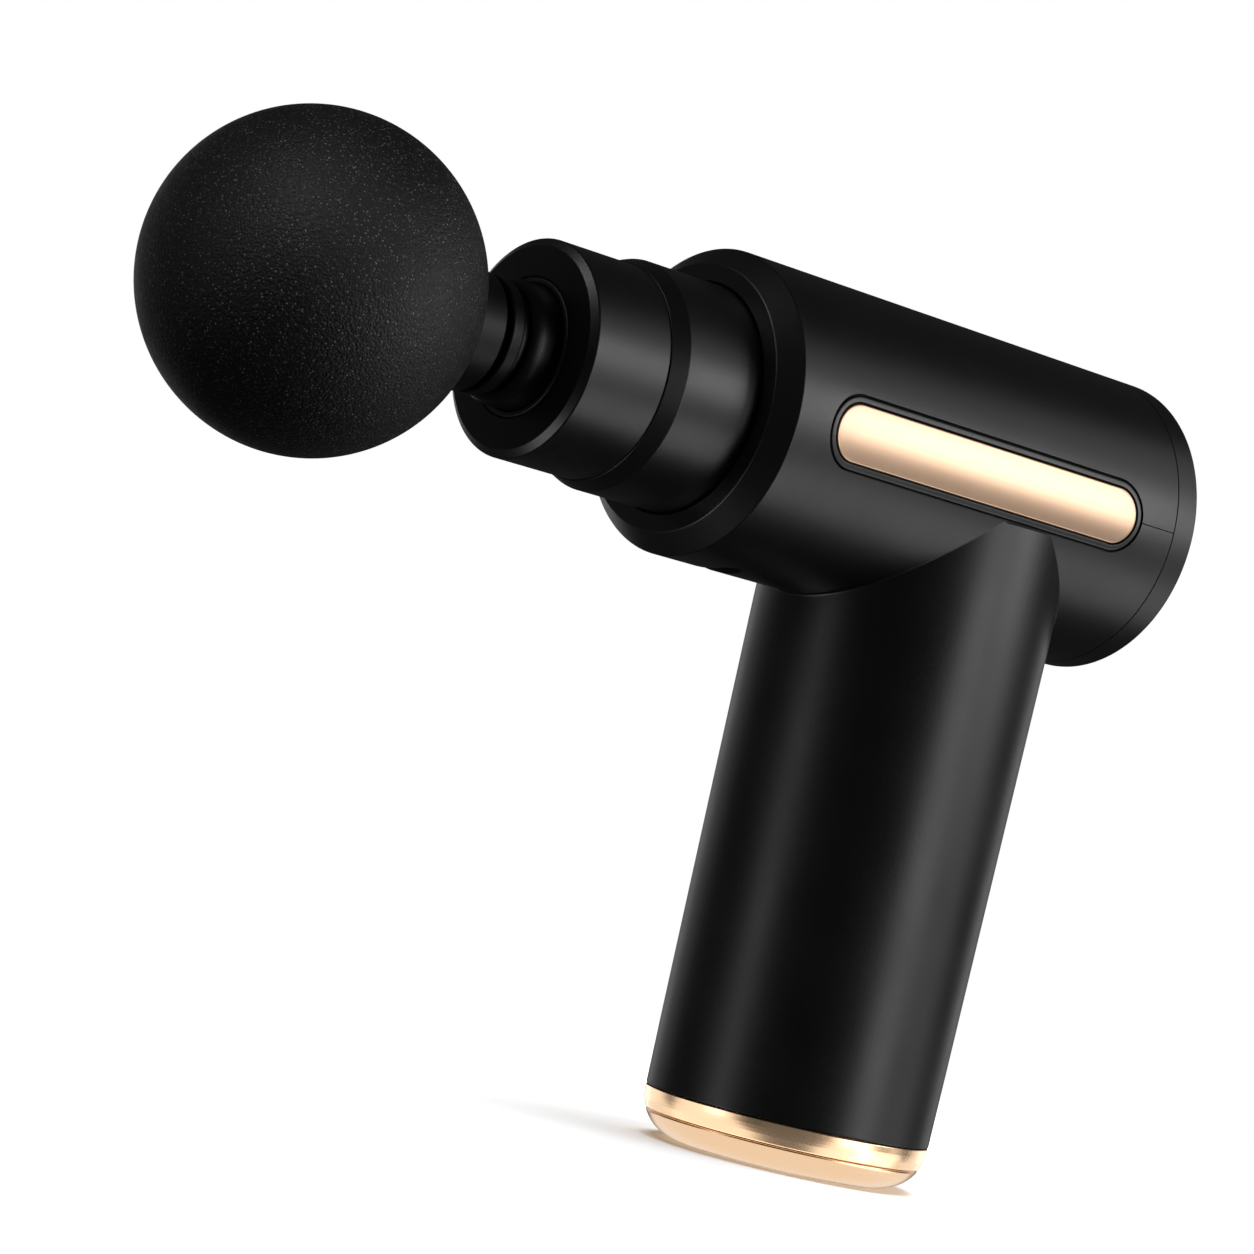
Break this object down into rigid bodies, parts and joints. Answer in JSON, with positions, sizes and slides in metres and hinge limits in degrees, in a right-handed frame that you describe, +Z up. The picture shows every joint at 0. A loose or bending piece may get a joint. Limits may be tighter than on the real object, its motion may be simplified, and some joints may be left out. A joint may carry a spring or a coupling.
{
  "type": "massage gun",
  "caption": "Cordless percussion massage gun: round barrel with a stroking plunger, foam ball head, rear control panel and an upright battery handle.",
  "frame": {"origin": "centre of the handle's flat base", "axes": "+Z up along the handle's axis, -X towards the ball head along the barrel's axis, +X towards the rear control panel, +Y to the right-hand side seen from behind looking at the head"},
  "size_m": [0.1872, 0.05, 0.137],
  "materials": {
    "shell": "satin soft-touch black",
    "panel": "semi-gloss black",
    "plunger": "polished black",
    "rubber": "matt black",
    "foam": "matt black foam skin with a fine leather grain",
    "gold": "champagne gold, satin to polished",
    "steel": "bright",
    "bronze": "machined",
    "alloy": "cast",
    "iron": "dark",
    "board": "solder-masked circuit board",
    "cell": "shrink-sleeved cell, of about the overall density of aluminium",
    "carrier": "moulded dark grey",
    "lamp": "clear, lit blue"
  },
  "bodies": {
    "housing": {"housing_lower": "shell", "housing_upper": "shell", "front_collar": "shell", "nose_sleeve": "shell", "rear_frame": "shell", "guide_bush": "carrier", "dust_seal": "rubber", "inlay_surround_left": "panel", "inlay_surround_right": "panel", "rear_panel": "panel", "inlay_strip_left": "gold", "inlay_strip_right": "gold", "base_band": "gold", "base_bumper": "gold", "base_screw_1": "steel", "base_screw_2": "steel", "bracket_screw_1": "steel", "bracket_screw_2": "steel", "motor_bearing_lower": "steel", "motor_bearing_upper": "steel", "cell_link": "steel", "board_screw_1": "steel", "board_screw_2": "steel", "rear_screw_1": "steel", "rear_screw_2": "steel", "rear_screw_3": "steel", "rear_screw_4": "steel", "switch_body": "steel", "usb_shell": "steel", "motor_bracket": "alloy", "motor_mount": "alloy", "motor_stator": "iron", "battery_cell_left": "cell", "battery_cell_right": "cell", "battery_cradle_lower": "carrier", "battery_cradle_upper": "carrier", "usb_tongue": "carrier", "battery_board": "board", "main_board": "board", "control_board": "board", "led_light_guide": "lamp", "indicator_pipe": "lamp"},
    "plunger": {"plunger": "plunger", "grip_ring": "rubber", "wrist_pin": "steel"},
    "head": {"head_stem": "shell", "plug_ring_front": "rubber", "plug_ring_rear": "rubber", "head_ball": "foam"},
    "crank": {"motor_rotor": "steel", "motor_shaft": "steel", "crank_pin": "steel", "crank_pin_clip": "steel", "rotor_magnet_ring": "iron", "crank_counterweight": "bronze"},
    "connecting_rod": {"connecting_rod": "alloy", "big_end_bearing": "steel"},
    "power_button": {"power_button": "panel", "switch_stem": "carrier"}
  },
  "joints": [
    {"name": "piston_stroke", "type": "slide", "parent": "housing", "child": "plunger", "axis": [-1, 0, 0], "range_m": [-0.003, 0.003]},
    {"name": "crank_spin", "type": "hinge", "parent": "housing", "child": "crank", "pos_m": [0, 0, 0.112], "axis": [0, 0, 1], "range_deg": [-90, 90]},
    {"name": "rod_swing", "type": "hinge", "parent": "crank", "child": "connecting_rod", "pos_m": [0, 0.003, 0.112], "axis": [0, 0, 1], "range_deg": [-90, 90]},
    {"name": "head_pull", "type": "slide", "parent": "plunger", "child": "head", "axis": [-1, 0, 0], "range_m": [0, 0.025]},
    {"name": "power_button", "type": "slide", "parent": "housing", "child": "power_button", "axis": [-1, 0, 0], "range_m": [0, 0.0005], "stiffness_N_per_m": 4000}
  ],
  "couplings": [
    {"joint": "crank_spin", "follows": "piston_stroke", "rad_per_m": 523.5},
    {"joint": "rod_swing", "follows": "piston_stroke", "rad_per_m": -523.5}
  ]
}
